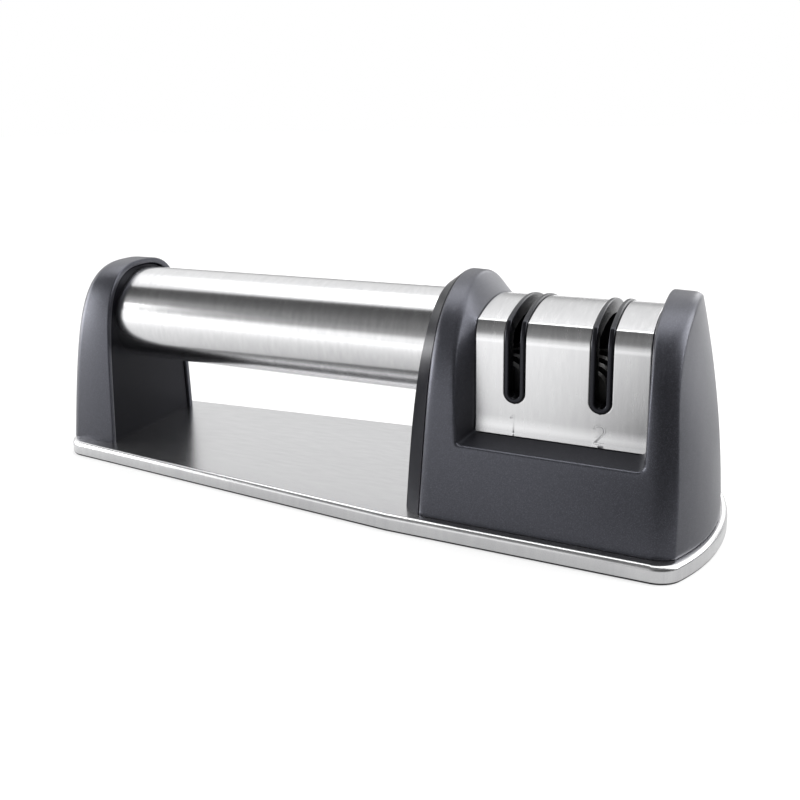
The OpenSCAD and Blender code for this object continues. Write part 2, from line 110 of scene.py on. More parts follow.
# Rounding of the housing's outline towards the end cover, and the heights between which it changes
CHEEK_ROUND = (4.0, 1.2)
CHEEK_ROUND_Z = (CHEEK_LEFT_H - 14, CHEEK_LEFT_H - 2)
# How far that rounding has turned where it meets the end cover
CHEEK_TURN = math.radians(32)
# How far the recess's walls lean out up to the outer surface: at the ledge, on top, power of the height
LEAN_LEFT = (1.5, 4.2, 1)
LEAN_RIGHT = (0.9, 3.0, 8)
# Roundings between the ledge and the left and right wall, round the recess's edges and at the rim
LEDGE_FILLETS = (0.8, 2.0)
RECESS_FILLET = 0.6
RIM_FILLET = 0.35
# Steel cover: its crown, and its shoulder's slow radius, tight radius and the angle between them
COVER_H = 57.9
CROWN_R = 44.0
SLOW_R = 8.5
CREASE_R = 1.2
CREASE_ANGLE = math.radians(38)
# Flare of the cover's foot, and the height over the foot at which it ends
COVER_FLARE = (0.45, 5.0)
# The figures stand this far over the cover's foot
DIGIT_LIFT = 0.9


# Outlines


def bowed_half(q, m, apex, bow, corner, steps):
    """Half outline of a bowed end, from its side line y = q + m * x round a corner to the axis.

    The corner's circle touches the side line and the bow, so a quadratic equation gives its centre.
    """
    bow_x = apex - bow
    corner_q = q - corner * math.sqrt(1 + m * m)
    a = 1 + m * m
    b = 2 * (m * corner_q - bow_x)
    c = bow_x * bow_x + corner_q * corner_q - (bow - corner) ** 2
    corner_x = (-b + math.sqrt(b * b - 4 * a * c)) / (2 * a)
    corner_y = corner_q + m * corner_x
    side_angle = math.atan2(1, -m)
    bow_angle = math.atan2(corner_y, corner_x - bow_x)
    corner_t = np.linspace(side_angle, bow_angle, steps, endpoint=False)
    bow_t = np.linspace(bow_angle, 0, steps + 1)
    corner_points = np.c_[corner_x + corner * np.cos(corner_t), corner_y + corner * np.sin(corner_t)]
    bow_points = np.c_[bow_x + bow * np.cos(bow_t), bow * np.sin(bow_t)]
    return np.vstack([corner_points, bow_points])


def base_outline(inset, steps=24):
    """Closed outline of the base plate, drawn in by inset."""
    half = BASE_W / 2
    m = -(BASE_W - BASE_TIP_W) / 2 / (BASE_BEND_X + BASE_END - BASE_CORNER_R)
    q = half + m * BASE_BEND_X
    drawn = q - inset * math.sqrt(1 + m * m)
    end, bow, corner = BASE_END - inset, BASE_BOW_R - inset, BASE_CORNER_R - inset
    right = bowed_half(half - inset, 0, end, bow, corner, steps)
    left = bowed_half(drawn, m, end, bow, corner, steps)
    left[:, 0] *= -1
    bend = [[-(half - inset - drawn) / m, half - inset]]
    side = np.vstack([right[::-1], bend, left])
    mirrored = side[-2:0:-1] * [1, -1]
    return np.vstack([side, mirrored])


def arch_angles(steps=64):
    """Angles of an arch's points, closer together near the foot."""
    half = 0.5 * math.pi * (np.arange(steps + 1) / steps) ** 1.5
    return np.concatenate([half, math.pi - half[-2::-1]])


def arch_points(angles, w, h, foot, shape):
    """Arch of width w and height h above foot, as rows of y and z. w and h may be arrays."""
    rise = (h - foot) * np.sin(angles) ** (2 / shape[1])
    reach = w / 2 - shape[0] * rise
    y = -np.sign(np.cos(angles)) * reach * np.abs(np.cos(angles)) ** (2 * shape[2])
    return np.c_[y, foot + rise]


def arch_ring(w, h, shape, inset, x):
    """Arch that stands on the base at x, drawn in by inset."""
    arch = arch_points(arch_angles(), w - 2 * inset, h - inset, BASE_H, shape)
    return np.c_[np.full(len(arch), x), arch]


def end_setback(y, z, lean, bow):
    """How far an end face lies in from its foot's apex."""
    rise = z - BASE_H
    return lean[0] * rise + lean[1] * rise**2 + bow - np.sqrt(bow**2 - y**2)


def turned_corner(radius, crease, t):
    """How far a corner's surface is drawn in from the side wall and back from the end at turn t.

    It turns slowly by the radius up to the crease's angle, and then tightly by the crease's radius.
    """
    turn = math.radians(crease[0])
    slow = min(t, turn)
    fast = max(t, turn)
    draw = radius * (1 - math.cos(slow)) + crease[1] * (math.cos(turn) - math.cos(fast))
    back = radius * (math.sin(turn) - math.sin(slow)) + crease[1] * (1 - math.sin(fast))
    return draw, back


def end_rings(w, h, shape, apex, lean, bow, corner, crease):
    """Rings of an arched body's rounded end, from its side wall to the middle of the face."""
    slow_steps, tight_steps, face_steps = 13, 8, 14
    angles = arch_angles()
    radius = corner[0] + (corner[1] - corner[0]) * np.sin(angles) ** 2
    turn = math.radians(crease[0])
    slow_turns = np.linspace(0, turn, slow_steps)
    tight_turns = np.linspace(turn, math.pi / 2, tight_steps)
    rings = []
    for t in np.concatenate([slow_turns, tight_turns[1:]]):
        draw, back = turned_corner(radius, crease, t)
        p = arch_points(angles, w - 2 * draw, h - draw, BASE_H, shape)
        rings.append(np.c_[apex - back - end_setback(p[:, 0], p[:, 1], lean, bow), p])
    rim = rings[-1]
    for k in np.linspace(1, 0, face_steps + 1)[1:]:
        y = k * rim[:, 1]
        z = BASE_H + k * (rim[:, 2] - BASE_H)
        rings.append(np.c_[apex - end_setback(y, z, lean, bow), y, z])
    return rings


def cover_arcs():
    """Front half of the cover's outline as arcs: [centre y, centre z, radius, first angle, last angle].

    The shoulder turns slowly from the upright front and then tightly into the crown.
    """
    crown_z = COVER_H - CROWN_R
    slow_y = COVER_DEPTH / 2 - SLOW_R
    tight_y = slow_y + (SLOW_R - CREASE_R) * math.cos(CREASE_ANGLE)
    turn = math.acos(tight_y / (CROWN_R - CREASE_R))
    tight_z = crown_z + (CROWN_R - CREASE_R) * math.sin(turn)
    slow_z = tight_z - (SLOW_R - CREASE_R) * math.sin(CREASE_ANGLE)
    return [
        [slow_y, slow_z, SLOW_R, 0, CREASE_ANGLE],
        [tight_y, tight_z, CREASE_R, CREASE_ANGLE, turn],
        [0, crown_z, CROWN_R, turn, math.pi / 2],
    ]


def cover_lengths():
    """Arc lengths from the front foot at which the front's arcs start, and at which the last ends."""
    arcs = cover_arcs()
    ends = [arcs[0][1] - COVER_FOOT]
    for _, _, radius, first, last in arcs:
        ends.append(ends[-1] + radius * (last - first))
    return ends


def on_saddle(s, depth):
    """Places y and z at arc length s of the cover's outline from its front foot, sunk by depth.

    The sheet flares out a little at its foot.
    """
    ends = cover_lengths()
    mirrored = s > ends[-1]
    t = np.where(mirrored, 2 * ends[-1] - s, s)
    flare, length = COVER_FLARE
    y = COVER_DEPTH / 2 - depth + flare * np.maximum(0, 1 - t / length) ** 2
    z = COVER_FOOT + t
    for (cy, cz, radius, first, _), start in zip(cover_arcs(), ends):
        angle = first + (t - start) / radius
        on_arc = t > start
        y = np.where(on_arc, cy + (radius - depth) * np.cos(angle), y)
        z = np.where(on_arc, cz + (radius - depth) * np.sin(angle), z)
    return np.where(mirrored, y, -y), z


def saddle_distance(y, z):
    """Distance outside the steel cover's outline."""
    ay = np.abs(y)
    distance = ay - COVER_DEPTH / 2
    for cy, cz, radius, first, _ in cover_arcs():
        on_arc = (np.arctan2(z - cz, ay - cy) > first) & (z > cz)
        distance = np.where(on_arc, np.hypot(ay - cy, z - cz) - radius, distance)
    return distance


# Meshes

# The body that every piece here rides on: only the CAD's discs and their sleeves turn
STAND = "stand"
# Points closer than the first become one, and slivers finer than the second go, in metres
WELD = 1e-7
SLIVER = 1e-8


def grid_quads(n_rows, n_cols, close):
    """Corner numbers of the quads between rows of points. Each row is a ring where it closes."""
    quads = []
    for r in range(n_rows - 1):
        here, there = r * n_cols, (r + 1) * n_cols
        for c in range(n_cols if close else n_cols - 1):
            d = (c + 1) % n_cols
            quads.append([here + c, here + d, there + d, there + c])
    return quads


class Build:
    """Collects patches of points in millimetres and makes one piece of them."""

    def __init__(self):
        self.points = []
        self.faces = []
        self.uvs = []
        self.count = 0

    def add(self, points, faces, uvs):
        """Adds faces by their corners' numbers among these points, with a UV for each corner."""
        self.points.append(np.asarray(points, float).reshape(-1, 3))
        self.faces += [[self.count + i for i in face] for face in faces]
        self.uvs += uvs
        self.count += len(self.points[-1])

    def grid(self, rows, uv=None, close=False):
        """Quads between rows of equally many points. uv has a spare column where it closes."""
        rows = np.asarray(rows, float)
        n_rows, n_cols = rows.shape[:2]
        if uv is None:
            uv = rows[:, :, :2]
            if close:
                uv = np.concatenate([uv, uv[:, :1]], axis=1)
        uvs = [[uv[r, c], uv[r, c + 1], uv[r + 1, c + 1], uv[r + 1, c]]
               for r in range(n_rows - 1) for c in range(n_cols if close else n_cols - 1)]
        self.add(rows, grid_quads(n_rows, n_cols, close), uvs)

    def cap(self, ring, uv=None):
        """One face across a ring."""
        ring = np.asarray(ring, float)
        uv = ring[:, :2] if uv is None else uv
        self.add(ring, [list(range(len(ring)))], [list(uv)])

    def piece(self, name, material, sharp=40):
        """Makes the piece, with its patches joined and its faces turned outwards."""
        mesh = bpy.data.meshes.new(name)
        points = np.vstack(self.points) * MM
        mesh.from_pydata(points.tolist(), [], self.faces)
        layer = mesh.uv_layers.new(name="lie")
        flat = np.array([uv for face in self.uvs for uv in face], np.float32)
        layer.data.foreach_set("uv", flat.ravel())
        work = bmesh.new()
        work.from_mesh(mesh)
        bmesh.ops.remove_doubles(work, verts=work.verts, dist=WELD)
        bmesh.ops.dissolve_degenerate(work, edges=work.edges, dist=SLIVER)
        bmesh.ops.recalc_face_normals(work, faces=work.faces)
        work.to_mesh(mesh)
        work.free()
        return finish_piece(name, mesh, material, sharp)


def finish_piece(name, mesh, material, sharp):
    """Makes an object of a mesh, smooth but for edges sharper than so many degrees."""
    mesh.shade_smooth()
    mesh.set_sharp_from_angle(angle=math.radians(sharp))
    obj = bpy.data.objects.new(name, mesh)
    bpy.context.scene.collection.objects.link(obj)
    mesh.materials.append(material)
    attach(obj, STAND)
    return obj


def modify(obj, name, kind, **settings):
    """Gives an object a modifier with these settings."""
    modifier = obj.modifiers.new(name, kind)
    for key, value in settings.items():
        setattr(modifier, key, value)


def bake_modifiers(obj, sharp=40):
    """Applies an object's modifiers to its mesh."""
    depsgraph = bpy.context.evaluated_depsgraph_get()
    mesh = bpy.data.meshes.new_from_object(obj.evaluated_get(depsgraph))
    obj.modifiers.clear()
    obj.data = mesh
    mesh.set_sharp_from_angle(angle=math.radians(sharp))


def weigh_normals(obj):
    """Lets the largest face at each point set the shading.

    The modifier compares areas in square metres, so the difference that it overlooks is tiny.
    """
    modify(obj, "normals", "WEIGHTED_NORMAL", keep_sharp=True, weight=100, thresh=0.001 * MM**2)


# Materials

FLAKE_COLOUR = (0.36, 0.37, 0.43)
# Tint of what the dark plastics reflect
BLUISH = (0.84, 0.86, 1.0)


def shader(name, **sockets):
    """New node material, with these values on its Principled shader's own sockets."""
    material = bpy.data.materials.new(name)
    material.use_nodes = True
    nodes = material.node_tree.nodes
    principled = nodes["Principled BSDF"]
    for socket, value in sockets.items():
        principled.inputs[socket.replace("_", " ")].default_value = value
    return material, material.node_tree, principled


def node(tree, kind, inputs=None, **settings):
    """New node with its settings and with values or links on its inputs."""
    made = tree.nodes.new(kind)
    for key, value in settings.items():
        setattr(made, key, value)
    for key, value in (inputs or {}).items():
        if isinstance(value, bpy.types.NodeSocket):
            tree.links.new(value, made.inputs[key])
        else:
            made.inputs[key].default_value = value
    return made


def place(tree, scale, source="Object", turn=(0, 0, 0)):
    """Texture coordinates times scale. Object coordinates are metres, and UV is millimetres."""
    coords = node(tree, "ShaderNodeTexCoord")
    mapping = node(tree, "ShaderNodeMapping", {
        "Vector": coords.outputs[source], "Scale": scale, "Rotation": turn})
    return mapping.outputs["Vector"]


def noise(tree, vector, detail, roughness=0.5):
    made = node(tree, "ShaderNodeTexNoise", {
        "Vector": vector, "Scale": 1.0, "Detail": detail, "Roughness": roughness})
    return made.outputs["Fac"]


def math_node(tree, operation, first, second=0.0):
    return node(tree, "ShaderNodeMath", {0: first, 1: second}, operation=operation).outputs[0]


def remap(tree, value, low, high, to_low, to_high):
    made = node(tree, "ShaderNodeMapRange", {
        "Value": value, "From Min": low, "From Max": high, "To Min": to_low, "To Max": to_high})
    return made.outputs["Result"]


def blend_colours(tree, factor, first, second):
    """First colour where the factor is 0 and second where it is 1."""
    made = node(tree, "ShaderNodeMix", data_type="RGBA")
    tree.links.new(factor, made.inputs["Factor"])
    for key, colour in (("A", first), ("B", second)):
        if isinstance(colour, bpy.types.NodeSocket):
            tree.links.new(colour, made.inputs[key])
        else:
            made.inputs[key].default_value = (*colour, 1)
    return made.outputs["Result"]


def bump(tree, principled, height, strength, depth):
    """Relief of depth millimetres on a shader, from a texture's height."""
    made = node(tree, "ShaderNodeBump", {"Height": height, "Strength": strength, "Distance": depth * MM})
    tree.links.new(made.outputs["Normal"], principled.inputs["Normal"])


def grey(value, blue=1.0):
    """Grey colour, with its blue times a factor."""
    return (value, value, value * blue)


def brushed_steel(name, tone, rough, spread, along, across, depth, source="UV"):
    """Steel brushed along the texture's V. spread is the anisotropy, which blurs along U.

    along is the length of a brush mark, and across is how many lie side by side in a millimetre.
    Under the fine marks lie broad ones.
    """
    wider, longer = 9, 3
    material, tree, principled = shader(
        name, Metallic=1.0, Roughness=rough, Anisotropic=spread, Specular_IOR_Level=0.5)
    unit = 1 / MM if source == "Object" else 1.0
    u, v = across * unit, unit / along
    fine = noise(tree, place(tree, (u, v, v), source), detail=4.0, roughness=0.65)
    broad = noise(tree, place(tree, (u / wider, v / longer, v / longer), source), detail=3.0)
    both = math_node(tree, "ADD", fine, broad)
    shade = remap(tree, both, 0.75, 1.25, 0, 1)
    colour = blend_colours(tree, shade, grey(tone * 0.95, 1.015), grey(tone * 1.05, 1.01))
    tree.links.new(colour, principled.inputs["Base Color"])
    tree.links.new(remap(tree, both, 0.7, 1.3, rough * 0.9, rough * 1.12), principled.inputs["Roughness"])
    bump(tree, principled, fine, 0.3, depth)
    if source == "UV":
        tangent = node(tree, "ShaderNodeTangent", direction_type="UV_MAP", uv_map="lie")
        tree.links.new(tangent.outputs["Tangent"], principled.inputs["Tangent"])
    return material


def moulded_plastic(name, colour, rough, gloss=0.5, tint=(1, 1, 1), flake=0.0, grain=0.03, flake_size=0.14):
    """Moulded plastic with a fine eroded grain and, for metallic plastic, small shining flakes."""
    material, tree, principled = shader(
        name, Roughness=rough, Specular_IOR_Level=gloss, Specular_Tint=(*tint, 1))
    unit = 1 / MM
    grain_size, patch_size = 0.22, 9
    # Turned, so that no face lies along the layers of the textures
    turn = (0.6, 0.9, 0.4)
    grains = noise(tree, place(tree, (unit / grain_size,) * 3, turn=turn), detail=3.0, roughness=0.6)
    patches = noise(tree, place(tree, (unit / patch_size,) * 3), detail=3.0)
    darker, lighter = ([c * share for c in colour] for share in (0.9, 1.1))
    base = blend_colours(tree, remap(tree, patches, 0.3, 0.7, 0, 1), darker, lighter)
    if flake:
        specks = node(tree, "ShaderNodeTexVoronoi", {
            "Vector": place(tree, (unit / flake_size,) * 3, turn=turn), "Scale": 1.0, "Randomness": 1.0})
        chosen = node(tree, "ShaderNodeSeparateColor", {"Color": specks.outputs["Color"]}).outputs[0]
        near = remap(tree, specks.outputs["Distance"], 0.25, 0.5, 1, 0)
        rare = remap(tree, chosen, 0.2, 1.0, 0, 1)
        shown = math_node(tree, "MULTIPLY", near, rare)
        base = blend_colours(tree, remap(tree, shown, 0, 1, 0.02, 0.3), base, FLAKE_COLOUR)
        tree.links.new(remap(tree, shown, 0, 1, 0, flake), principled.inputs["Metallic"])
    tree.links.new(base, principled.inputs["Base Color"])
    tree.links.new(remap(tree, grains, 0.3, 0.7, rough * 0.88, rough * 1.12), principled.inputs["Roughness"])
    bump(tree, principled, grains, 0.5, grain)
    return material


plate_steel = brushed_steel(
    "plate_steel", tone=0.58, rough=0.24, spread=0.5, along=2.5, across=7.0, depth=0.004)
cover_steel = brushed_steel(
    "cover_steel", tone=0.58, rough=0.25, spread=0.5, along=3.0, across=6.0, depth=0.003)
tube_steel = brushed_steel(
    "tube_steel", tone=0.58, rough=0.17, spread=0.6, along=2.0, across=7.0, depth=0.003)
screw_steel = brushed_steel(
    "screw_steel", tone=0.5, rough=0.25, spread=0.0, along=0.8, across=5.0, depth=0.004, source="Object")
pin_steel = brushed_steel(
    "pin_steel", tone=0.55, rough=0.2, spread=0.0, along=0.6, across=6.0, depth=0.003, source="Object")
shell_plastic = moulded_plastic(
    "shell_plastic", (0.007, 0.007, 0.009), rough=0.35, gloss=0.78, tint=BLUISH, flake=0.14, grain=0.015)
panel_plastic = moulded_plastic(
    "panel_plastic", (0.006, 0.006, 0.008), rough=0.34, gloss=0.14, tint=BLUISH, grain=0.012)
liner_plastic = moulded_plastic(
    "liner_plastic", (0.005, 0.005, 0.006), rough=0.28, gloss=0.32, tint=BLUISH, grain=0.006)
inner_plastic = moulded_plastic("inner_plastic", (0.006, 0.006, 0.007), rough=0.5, gloss=0.3)
pad_rubber = moulded_plastic("pad_rubber", (0.012, 0.012, 0.013), rough=0.7, grain=0.06)
# Both disc colours are kept very dark as painted shade of the deep slots that they sit in. The ceramic is
# far darker than ceramic is, and the grit is also dark of its own.
grit_with_painted_shade = moulded_plastic(
    "grit_with_painted_shade", (0.03, 0.03, 0.033), rough=0.6, flake=0.6, grain=0.1, flake_size=0.12)
ceramic_with_painted_shade = moulded_plastic("ceramic_with_painted_shade", (0.07, 0.068, 0.065), rough=0.5, grain=0.04)


# Base plate and pad


def base_ring(inset, z):
    """Outline of the base plate at height z, drawn in by inset."""
    outline = base_outline(inset)
    return np.c_[outline, np.full(len(outline), z)]


def rounded_top(inset, r, top):
    """Rings of the base plate's top edge, from its side to its top."""
    return [base_ring(inset + r * (1 - math.cos(t)), top - r * (1 - math.sin(t)))
            for t in np.linspace(0, math.pi / 2, 9)]


def build_base_plate():
    """Steel tray with a rounded top edge, hollow below. It is brushed lengthwise."""

    def lay(rings):
        """UVs of closed rings, with U across the plate and V along it."""
        uv = np.array(rings)[:, :, [1, 0]]
        return np.concatenate([uv, uv[:, :1]], axis=1)

    outer = [base_ring(0, PAD_T)] + rounded_top(0, RIM_R, BASE_H)
    inner = [base_ring(SHEET, PAD_T)] + rounded_top(SHEET, RIM_R - SHEET, BASE_H - SHEET)
    build = Build()
    for rings in (outer, inner):
        build.grid(rings, lay(rings), close=True)
        build.cap(rings[-1], rings[-1][:, [1, 0]])
    edge = [outer[0], inner[0]]
    build.grid(edge, lay(edge), close=True)
    obj = build.piece("base_plate", plate_steel)
    weigh_normals(obj)
    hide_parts("base_tray")


def build_pad():
    """Rubber pad under the plate, a little inside its edge."""
    edge = 0.2
    edge_r = 0.15
    rings = [base_ring(edge + edge_r, 0), base_ring(edge, edge_r), base_ring(edge, PAD_T)]
    build = Build()
    build.grid(rings, close=True)
    build.cap(rings[0])
    build.cap(rings[-1])
    obj = build.piece("rubber_pad", pad_rubber)
    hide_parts("grip_pad")


# Post


def rounded_edge(inset, r, x, turns, side=1):
    """Rings of radius r between the post's arch, drawn in by inset, and a face at x.

    side is 1 where the face lies inside that arch, and -1 where it lies outside.
    """
    return [arch_ring(POST_W, POST_H, POST_SHAPE, inset + side * r * (1 - math.sin(t)),
                      x - r * (1 - math.cos(t))) for t in turns]


def build_post_shell():
    """Shell of the post, open to the handle inside a rounded rim."""
    edge_r = 0.45

    def form(inset):
        rings = end_rings(
            POST_W - 2 * inset, POST_H - inset, POST_SHAPE, -POST_X + POST_LEN - inset,
            POST_LEAN, POST_BOW_R, POST_CORNER, POST_CREASE)
        return [ring * [-1, 1, 1] for ring in rings]

    outer = form(0)[::-1] + rounded_edge(0, edge_r, POST_X, np.linspace(math.pi / 2, 0, 5))
    inner = rounded_edge(WALL, edge_r, POST_X, np.linspace(0, math.pi / 2, 5), side=-1) + form(WALL)
    build = Build()
    build.grid(outer + inner)
    for side in (0, -1):
        build.grid([[row[side] for row in outer], [row[side] for row in inner[::-1]]])
    obj = build.piece("post_cover", shell_plastic, sharp=60)
    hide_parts("post_shell")


def build_post_panel():
    """Panel inside the post's rim, with a rounded edge."""
    gap = WALL + 2 * SEAT_GAP
    edge_r = 0.35
    rings = rounded_edge(gap, edge_r, POST_X - PANEL_RECESS, np.linspace(math.pi / 2, 0, 5))
    back = rings[0] - [PANEL_T - edge_r, 0, 0]
    build = Build()
    build.grid([back] + rings, close=True)
    build.cap(rings[-1])
    build.cap(back)
    obj = build.piece("post_inner_panel", panel_plastic, sharp=60)
    weigh_normals(obj)
    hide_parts("post_panel")


# Handle


def build_tube():
    """Handle tube, brushed round its axis."""
    x0 = POST_X - PANEL_RECESS - SOCKET_DEPTH
    x1 = FACE_X + FACE_LEAN * (HANDLE_H - BASE_H) + SOCKET_DEPTH
    rows = 40
    columns = 192
    xs = np.linspace(x0, x1, rows)
    angles = np.linspace(0, 2 * math.pi, columns + 1) - math.pi / 2
    radii = (TUBE_R, TUBE_R - TUBE_WALL)

    def circle(x, radius):
        y, z = radius * np.cos(angles[:-1]), HANDLE_H + radius * np.sin(angles[:-1])
        return np.c_[np.full(columns, x), y, z]

    build = Build()
    for radius in radii:
        uv = np.array([[[x, radius * a] for a in angles] for x in xs])
        build.grid([circle(x, radius) for x in xs], uv, close=True)
    for x in (x0, x1):
        build.grid([circle(x, radius) for radius in radii], close=True)
    obj = build.piece("handle_sleeve", tube_steel)
    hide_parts("handle_tube")


# Housing

# Its distance fields: side of a voxel, voxels on each side of the surface, and room around the form
VOXEL = 0.3
BAND = 12
MARGIN = 2.0


def line_distance(points, line):
    """Distance of points to a line of straight stretches."""
    nearest = np.full(points.shape[:-1], np.inf)
    for a, b in zip(line, line[1:]):
        along = b - a
        share = np.clip((points - a) @ along / (along @ along), 0, 1)
        gap = points - a - share[..., None] * along
        nearest = np.minimum(nearest, np.hypot(gap[..., 0], gap[..., 1]))
    return nearest


def cheek_radius(z):
    """Rounding of the housing's outline towards the end cover, which is smaller on top."""
    return np.interp(z, CHEEK_ROUND_Z, CHEEK_ROUND)


def round_max(a, b, r):
    """Overlap of two distance fields, with the edge rounded to radius r."""
    return np.minimum(np.maximum(a, b), -r) + np.hypot(np.maximum(a + r, 0), np.maximum(b + r, 0))


def outer_field(axes, low):
    """Distance field of the housing's outer form, which runs on past its rim and its foot."""
    past = 5.0
    side_steps = 20
    end = end_rings(
        HOUSING_W, CHEEK_RIGHT_H, HOUSING_SHAPE, HOUSING_END, HOUSING_LEAN, HOUSING_BOW_R, HOUSING_CORNER,
        HOUSING_CREASE)
    full = arch_points(arch_angles(), HOUSING_W, CHEEK_LEFT_H, BASE_H, HOUSING_SHAPE)
    rim = np.c_[FACE_X + BEVEL_LEN + FACE_LEAN * (full[:, 1] - BASE_H), full]
    side = [rim + (end[0] - rim) * k for k in np.linspace(0, 1, side_steps)]
    rings = [rim - [past, 0, 0]] + side + end[1:]
    sunk = [np.vstack([ring[:1] - [0, 0, past], ring, ring[-1:] - [0, 0, past]]) for ring in rings]
    columns = len(sunk[0])
    points = np.vstack(sunk)
    # A fan of triangles closes the form at each end
    triangles = []
    for first, order in ((0, 1), ((len(sunk) - 1) * columns, -1)):
        centre = len(points)
        points = np.vstack([points, points[first:first + columns].mean(0)])
        for c in range(columns):
            triangles.append([first + c, centre, first + (c + 1) % columns][::order])
    grid = openvdb.FloatGrid.createLevelSetFromPolygons(
        points.astype(np.float32), triangles=np.array(triangles, np.uint32),
        quads=np.array(grid_quads(len(sunk), columns, close=True), np.uint32),
        transform=openvdb.createLinearTransform(voxelSize=VOXEL), halfWidth=BAND)
    field = np.zeros([len(a) for a in axes], np.float32)
    grid.copyToArray(field, ijk=low)
    return field


def recess_field(x, y, z):
    """Distance field of the recess between the cheeks, over the ledge and around the steel cover."""
    out = saddle_distance(y, z)
    seat = SHEET + SEAT_GAP
    beyond = np.maximum(out, 0)
    arch = arch_points(arch_angles(), HOUSING_W, CHEEK_LEFT_H, BASE_H, HOUSING_SHAPE)
    across = beyond + line_distance(np.dstack([y, z]), arch)
    share = beyond / across
    height = np.clip((z - COVER_FOOT) / (CHEEK_LEFT_H - COVER_FOOT), 0, 1)

    def wall_field(edge, leans, side):
        low_lean, top_lean, power = leans
        lean = low_lean + (top_lean - low_lean) * height**power
        slope = lean / across
        line = edge + side * lean * share
        return side * (x - line[None]) / np.sqrt(1 + slope**2)[None]

    left = wall_field(COVER_X - SEAT_GAP, LEAN_LEFT, -1)
    right = wall_field(COVER_X + COVER_LEN + SEAT_GAP, LEAN_RIGHT, 1)
    ledge_z = COVER_FOOT - SEAT_GAP - np.maximum(0, np.abs(y) - COVER_DEPTH / 2) * math.tan(LEDGE_FALL)
    ledge = (ledge_z - z)[None] * math.cos(LEDGE_FALL)
    left_fillet, right_fillet = LEDGE_FILLETS
    recess = np.maximum(round_max(left, ledge, left_fillet), round_max(right, ledge, right_fillet))
    return np.maximum(recess, -(out + seat)[None])


def slot_field(x, z, middle):
    """Distance field of a knife slot, which is open on top and has a round foot."""
    centre = SLOT_FOOT + SLOT_W / 2
    sides = np.abs(x - middle)
    return np.where(z > centre, sides, np.hypot(sides, z - centre)) - SLOT_W / 2


def field_mesh(name, field, low):
    """Mesh of a distance field's surface."""
    limit = BAND * VOXEL
    grid = openvdb.FloatGrid(limit)
    grid.copyFromArray(np.clip(field, -limit, limit).astype(np.float32), ijk=low)
    grid.transform = openvdb.createLinearTransform(voxelSize=VOXEL)
    grid.gridClass = openvdb.GridClass.LEVEL_SET
    points, triangles, quads = grid.convertToPolygons(isovalue=0.0, adaptivity=0.01)
    mesh = bpy.data.meshes.new(name)
    faces = [face[::-1] for face in triangles.tolist() + quads.tolist()]
    mesh.from_pydata((points * MM).tolist(), [], faces)
    mesh.validate()
    return mesh


def build_housing_shell():
    """The housing is worked out as a distance field, so that its edges get true fillets."""
    # Up to this height over the base the hollow keeps its outline, which leaves the housing open below
    open_h = 4
    # The fields start this far behind the end cover's face
    behind = 1
    first = (FACE_X + behind, -HOUSING_W / 2 - MARGIN, BASE_H - MARGIN)
    last = (HOUSING_END + MARGIN, HOUSING_W / 2 + MARGIN, CHEEK_LEFT_H + MARGIN)
    low = tuple(math.floor(v / VOXEL) for v in first)
    high = tuple(math.ceil(v / VOXEL) for v in last)
    axes = [np.arange(a, b + 1) * VOXEL for a, b in zip(low, high)]
    x = axes[0][:, None, None]
    z = axes[2][None, None, :]
    recess = recess_field(x, *np.meshgrid(axes[1], axes[2], indexing="ij"))
    body = round_max(outer_field(axes, low), -recess, RECESS_FILLET)
    hollow = body + WALL
    sole = round((BASE_H + open_h) / VOXEL) - low[2]
    hollow[:, :, :sole] = hollow[:, :, sole:sole + 1]
    rim_x = FACE_X + BEVEL_LEN + FACE_LEAN * (z - BASE_H)
    rim = (rim_x - x) / math.sqrt(1 + FACE_LEAN**2)
    radius = cheek_radius(z)
    solid = round_max(body, rim - radius * (1 - math.sin(CHEEK_TURN)), radius)
    solid = round_max(solid, rim, RIM_FILLET)
    solid = np.maximum(solid, -hollow)
    solid = np.maximum(solid, BASE_H - z)
    for slot_x in SLOT_X:
        solid = np.maximum(solid, -slot_field(x, z, slot_x))
    mesh = field_mesh("housing_cover", solid, low)
    obj = finish_piece("housing_cover", mesh, shell_plastic, sharp=50)
    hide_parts("housing_shell")


def toward(start, end, distance):
    """Points at this distance from start on the way to end."""
    way = end - start
    return start + way / np.linalg.norm(way, axis=1)[:, None] * distance


